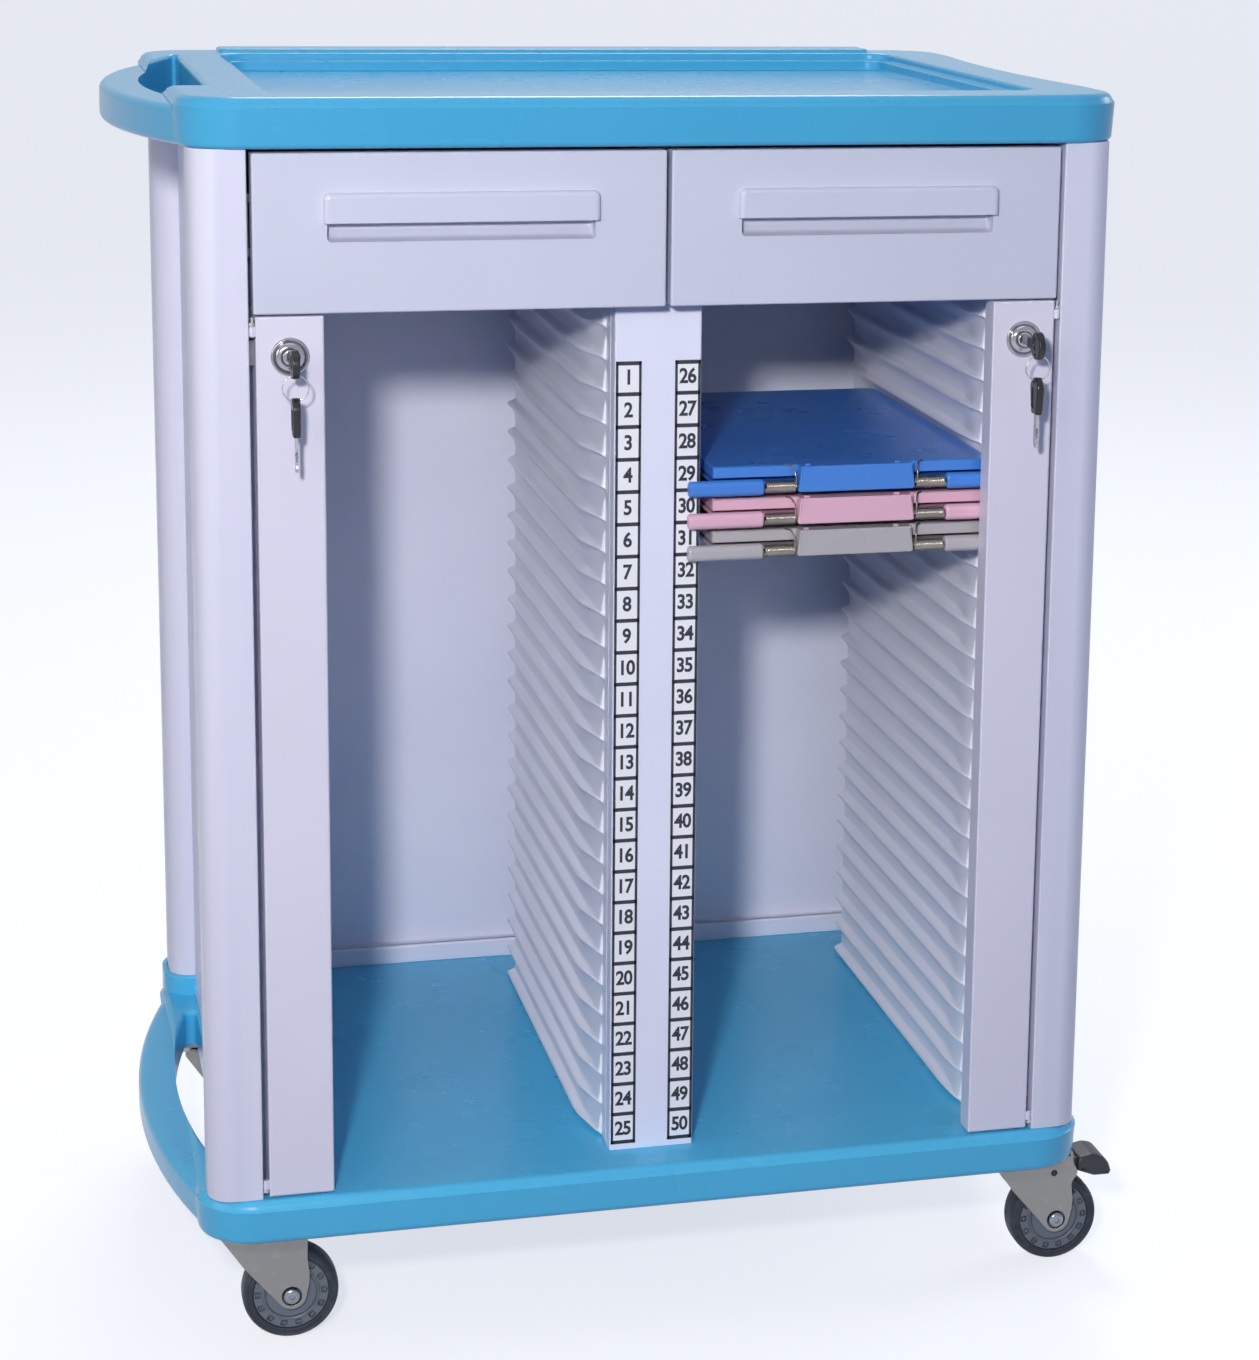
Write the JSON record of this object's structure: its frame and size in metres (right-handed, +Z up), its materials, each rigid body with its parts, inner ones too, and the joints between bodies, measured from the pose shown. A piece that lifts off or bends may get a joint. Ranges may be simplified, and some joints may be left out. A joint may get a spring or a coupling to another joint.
{
  "type": "patient record trolley",
  "caption": "Ward trolley for patient record binders: two slotted cells behind hinged locking bars, two drawers, a tray worktop with a push bow, and swivel casters.",
  "frame": {"origin": "on the floor under the middle of the trolley's overall box", "axes": "+Z up, the drawers and cells open towards -Y, the push bow is at -X"},
  "size_m": [0.792, 0.5525, 0.9745],
  "materials": {
    "deck_blue": "gloss moulded ABS, sky blue",
    "column_white": "semi-gloss extruded plastic, lavender white",
    "panel_white": "satin sheet plastic, lavender white",
    "chart_moulding": "satin moulded plastic, lavender white",
    "slide_zinc": "zinc plated steel",
    "label": "printed paper strip with plain numbers",
    "hinge_steel": "bright steel",
    "caster_zinc": "zinc plated pressed steel",
    "screw_steel": "zinc plated",
    "spring_steel": "dark spring steel",
    "binder_blue": "gloss plastic",
    "binder_pink": "gloss plastic",
    "binder_grey": "gloss plastic",
    "drawer_front_white": "semi-gloss moulded ABS, lavender white",
    "drawer_box_grey": "satin moulded plastic",
    "bar_white": "satin plastic, lavender white",
    "lock_chrome": "polished",
    "key_black": "black plastic head",
    "tyre": "grey rubber",
    "wheel_hub": "grey nylon",
    "pedal_black": "black moulded plastic"
  },
  "bodies": {
    "root": {"base_shelf": "deck_blue", "worktop": "deck_blue", "column_front_left": "column_white", "column_front_right": "column_white", "column_rear_left": "column_white", "column_rear_right": "column_white", "side_panel_left": "panel_white", "side_panel_right": "panel_white", "back_panel": "panel_white", "back_sill": "panel_white", "centre_post": "panel_white", "divider_core": "panel_white", "jamb_strips": "panel_white", "lock_keepers": "slide_zinc", "slot_labels": "label", "chart_panel_left_outer": "chart_moulding", "chart_panel_left_inner": "chart_moulding", "chart_panel_right_inner": "chart_moulding", "chart_panel_right_outer": "chart_moulding", "chart_runners_left": "chart_moulding", "chart_runners_right": "chart_moulding", "slide_rails": "slide_zinc", "bar_hinges": "hinge_steel", "caster_plates": "caster_zinc", "caster_screws": "screw_steel", "binder_blue": "binder_blue", "binder_pink": "binder_pink", "binder_grey": "binder_grey", "binder_springs": "spring_steel"},
    "drawer_left": {"drawer_front_left": "drawer_front_white", "drawer_box_left": "drawer_box_grey", "drawer_runners_left": "slide_zinc"},
    "drawer_right": {"drawer_front_right": "drawer_front_white", "drawer_box_right": "drawer_box_grey", "drawer_runners_right": "slide_zinc"},
    "bar_left": {"bar_left": "bar_white", "lock_body_left": "lock_chrome"},
    "lock_left": {"lock_plug_left": "lock_chrome", "key_left": "key_black"},
    "ring_left": {"key_ring_left": "key_black"},
    "bar_right": {"bar_right": "bar_white", "lock_body_right": "lock_chrome"},
    "lock_right": {"lock_plug_right": "lock_chrome", "key_right": "key_black"},
    "ring_right": {"key_ring_right": "key_black"},
    "caster_front_left": {"fork_front_left": "caster_zinc"},
    "wheel_front_left": {"tyre_front_left": "tyre", "hub_front_left": "wheel_hub"},
    "caster_rear_left": {"fork_rear_left": "caster_zinc"},
    "wheel_rear_left": {"tyre_rear_left": "tyre", "hub_rear_left": "wheel_hub"},
    "brake_rear_left": {"pedal_rear_left": "pedal_black"},
    "caster_front_right": {"fork_front_right": "caster_zinc"},
    "wheel_front_right": {"tyre_front_right": "tyre", "hub_front_right": "wheel_hub"},
    "brake_front_right": {"pedal_front_right": "pedal_black"},
    "caster_rear_right": {"fork_rear_right": "caster_zinc"},
    "wheel_rear_right": {"tyre_rear_right": "tyre", "hub_rear_right": "wheel_hub"}
  },
  "joints": [
    {"name": "drawer_left_slide", "type": "slide", "parent": "root", "child": "drawer_left", "axis": [0, -1, 0], "range_m": [0, 0.3]},
    {"name": "drawer_right_slide", "type": "slide", "parent": "root", "child": "drawer_right", "axis": [0, -1, 0], "range_m": [0, 0.3]},
    {"name": "bar_left_hinge", "type": "hinge", "parent": "root", "child": "bar_left", "pos_m": [-0.3041, -0.23015, 0.48], "axis": [0, 0, -1], "range_deg": [0, 90]},
    {"name": "lock_left_turn", "type": "hinge", "parent": "bar_left", "child": "lock_left", "pos_m": [-0.2775, -0.22175, 0.786], "axis": [0, 1, 0], "range_deg": [0, 90]},
    {"name": "key_ring_left_swing", "type": "hinge", "parent": "lock_left", "child": "ring_left", "pos_m": [-0.2775, -0.26625, 0.769], "axis": [0, 1, 0], "range_deg": [-90, 0]},
    {"name": "bar_right_hinge", "type": "hinge", "parent": "root", "child": "bar_right", "pos_m": [0.3041, -0.23015, 0.48], "axis": [0, 0, 1], "range_deg": [0, 90]},
    {"name": "lock_right_turn", "type": "hinge", "parent": "bar_right", "child": "lock_right", "pos_m": [0.2775, -0.22175, 0.786], "axis": [0, -1, 0], "range_deg": [0, 90]},
    {"name": "key_ring_right_swing", "type": "hinge", "parent": "lock_right", "child": "ring_right", "pos_m": [0.2775, -0.26625, 0.769], "axis": [0, -1, 0], "range_deg": [-90, 0]},
    {"name": "caster_front_left_swivel", "type": "hinge", "parent": "root", "child": "caster_front_left", "pos_m": [-0.315, -0.16975, 0.096], "axis": [0, 0, 1], "continuous": true},
    {"name": "wheel_front_left_roll", "type": "hinge", "parent": "caster_front_left", "child": "wheel_front_left", "pos_m": [-0.282, -0.16975, 0.0375], "axis": [0, 1, 0], "continuous": true},
    {"name": "caster_rear_left_swivel", "type": "hinge", "parent": "root", "child": "caster_rear_left", "pos_m": [-0.315, 0.20625, 0.096], "axis": [0, 0, 1], "continuous": true},
    {"name": "wheel_rear_left_roll", "type": "hinge", "parent": "caster_rear_left", "child": "wheel_rear_left", "pos_m": [-0.282, 0.20625, 0.0375], "axis": [0, 1, 0], "continuous": true},
    {"name": "brake_rear_left_press", "type": "hinge", "parent": "caster_rear_left", "child": "brake_rear_left", "pos_m": [-0.285, 0.20625, 0.079], "axis": [0, 1, 0], "range_deg": [0, 10]},
    {"name": "caster_front_right_swivel", "type": "hinge", "parent": "root", "child": "caster_front_right", "pos_m": [0.315, -0.16975, 0.096], "axis": [0, 0, 1], "continuous": true},
    {"name": "wheel_front_right_roll", "type": "hinge", "parent": "caster_front_right", "child": "wheel_front_right", "pos_m": [0.348, -0.16975, 0.0375], "axis": [0, 1, 0], "continuous": true},
    {"name": "brake_front_right_press", "type": "hinge", "parent": "caster_front_right", "child": "brake_front_right", "pos_m": [0.345, -0.16975, 0.079], "axis": [0, 1, 0], "range_deg": [0, 10]},
    {"name": "caster_rear_right_swivel", "type": "hinge", "parent": "root", "child": "caster_rear_right", "pos_m": [0.315, 0.20625, 0.096], "axis": [0, 0, 1], "continuous": true},
    {"name": "wheel_rear_right_roll", "type": "hinge", "parent": "caster_rear_right", "child": "wheel_rear_right", "pos_m": [0.348, 0.20625, 0.0375], "axis": [0, 1, 0], "continuous": true}
  ],
  "couplings": [
    {"joint": "key_ring_left_swing", "follows": "lock_left_turn", "ratio": -1},
    {"joint": "key_ring_right_swing", "follows": "lock_right_turn", "ratio": -1}
  ]
}
